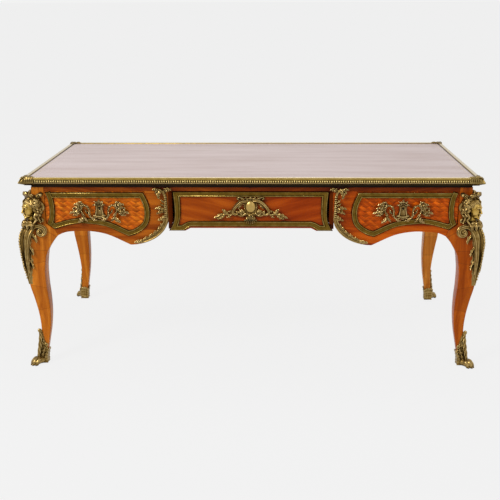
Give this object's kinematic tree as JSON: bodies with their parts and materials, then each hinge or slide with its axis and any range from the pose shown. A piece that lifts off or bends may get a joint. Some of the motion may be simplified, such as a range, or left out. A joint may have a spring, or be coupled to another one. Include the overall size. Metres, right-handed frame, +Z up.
{
  "type": "bureau plat",
  "caption": "Flat writing desk with a leather top in a bronze moulding, shaped frieze drawers that slide and lock, cabriole legs with bust mounts and paw feet.",
  "frame": {"origin": "centre of the footprint, on the floor", "axes": "+X along the length to the right as seen from the front, +Y to the back, +Z up"},
  "size_m": [1.8256, 0.9456, 0.786],
  "materials": {
    "kingwood_veneer": "French polished, tulipwood and kingwood veneer on oak",
    "oak": "plain planed oak",
    "gilt_bronze": "chased and gilt, partly burnished",
    "leather": "smooth, with a gilt tooled border",
    "iron": "bare"
  },
  "bodies": {
    "carcass": {"top_board": "kingwood_veneer", "writing_leather": "leather", "edge_moulding_front": "gilt_bronze", "edge_moulding_back": "gilt_bronze", "edge_moulding_left": "gilt_bronze", "edge_moulding_right": "gilt_bronze", "corner_clasp_front_left": "gilt_bronze", "corner_clasp_front_right": "gilt_bronze", "corner_clasp_back_left": "gilt_bronze", "corner_clasp_back_right": "gilt_bronze", "leg_front_left": "kingwood_veneer", "leg_front_right": "kingwood_veneer", "leg_back_left": "kingwood_veneer", "leg_back_right": "kingwood_veneer", "bust_front_left": "gilt_bronze", "bust_front_right": "gilt_bronze", "bust_back_left": "gilt_bronze", "bust_back_right": "gilt_bronze", "sabot_front_left": "gilt_bronze", "sabot_front_right": "gilt_bronze", "sabot_back_left": "gilt_bronze", "sabot_back_right": "gilt_bronze", "front_rail": "kingwood_veneer", "front_apron_left": "kingwood_veneer", "front_apron_right": "kingwood_veneer", "back_apron": "kingwood_veneer", "end_apron_left": "kingwood_veneer", "end_apron_right": "kingwood_veneer", "partition_left": "oak", "partition_right": "oak", "runner_left": "oak", "runner_right": "oak", "scroll_mount_left": "gilt_bronze", "scroll_mount_right": "gilt_bronze"},
    "drawer_left": {"drawer_left_front": "kingwood_veneer", "drawer_left_left_side": "oak", "drawer_left_right_side": "oak", "drawer_left_back": "oak", "drawer_left_bottom": "oak", "drawer_left_frame": "gilt_bronze", "drawer_left_pull": "gilt_bronze", "lock_left_case": "iron"},
    "drawer_centre": {"drawer_centre_front": "kingwood_veneer", "drawer_centre_left_side": "oak", "drawer_centre_right_side": "oak", "drawer_centre_back": "oak", "drawer_centre_bottom": "oak", "drawer_centre_frame": "gilt_bronze", "drawer_centre_cartouche": "gilt_bronze"},
    "drawer_right": {"drawer_right_front": "kingwood_veneer", "drawer_right_left_side": "oak", "drawer_right_right_side": "oak", "drawer_right_back": "oak", "drawer_right_bottom": "oak", "drawer_right_frame": "gilt_bronze", "drawer_right_pull": "gilt_bronze", "lock_right_case": "iron"},
    "bolt_left": {"lock_left_bolt": "iron"},
    "bolt_right": {"lock_right_bolt": "iron"}
  },
  "joints": [
    {"name": "drawer_left_slide", "type": "slide", "parent": "carcass", "child": "drawer_left", "axis": [0, -1, 0], "range_m": [0, 0.42]},
    {"name": "drawer_centre_slide", "type": "slide", "parent": "carcass", "child": "drawer_centre", "axis": [0, -1, 0], "range_m": [0, 0.42]},
    {"name": "drawer_right_slide", "type": "slide", "parent": "carcass", "child": "drawer_right", "axis": [0, -1, 0], "range_m": [0, 0.42]},
    {"name": "lock_left_throw", "type": "slide", "parent": "drawer_left", "child": "bolt_left", "axis": [0, 0, 1], "range_m": [0, 0.009]},
    {"name": "lock_right_throw", "type": "slide", "parent": "drawer_right", "child": "bolt_right", "axis": [0, 0, 1], "range_m": [0, 0.009]}
  ]
}
